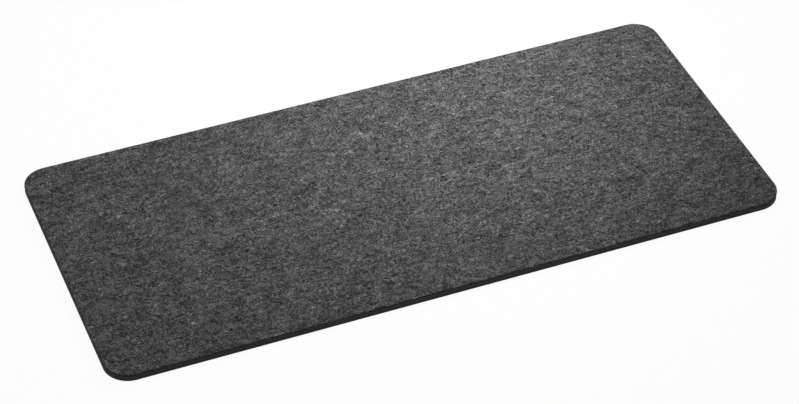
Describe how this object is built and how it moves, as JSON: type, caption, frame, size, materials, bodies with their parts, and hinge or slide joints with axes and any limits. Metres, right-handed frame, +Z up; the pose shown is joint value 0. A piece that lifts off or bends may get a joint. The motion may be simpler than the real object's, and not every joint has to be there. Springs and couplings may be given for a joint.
{
  "type": "desk pad",
  "caption": "Flat rectangular desk pad with rounded corners: a heathered felt face bonded to a foam core, with a studded rubber underlay that grips the desk.",
  "frame": {"origin": "centre of the plane that the pad rests on, under the middle of its outline", "axes": "+X along the pad's length to the user's right, +Y from the user's edge to the back edge, +Z up out of the felt face"},
  "size_m": [0.66, 0.3, 0.0075],
  "materials": {
    "felt": "needle-punched polyester felt, heathered dark grey",
    "bond_film": "hot-melt adhesive film",
    "foam": "closed-cell foam, black, die-cut edge",
    "grip_rubber": "moulded rubber, black, matt"
  },
  "bodies": {
    "root": {"felt_face_sheet": "felt", "upper_bond_film": "bond_film", "foam_core": "foam", "lower_bond_film": "bond_film", "grip_underlay": "grip_rubber"}
  },
  "joints": []
}
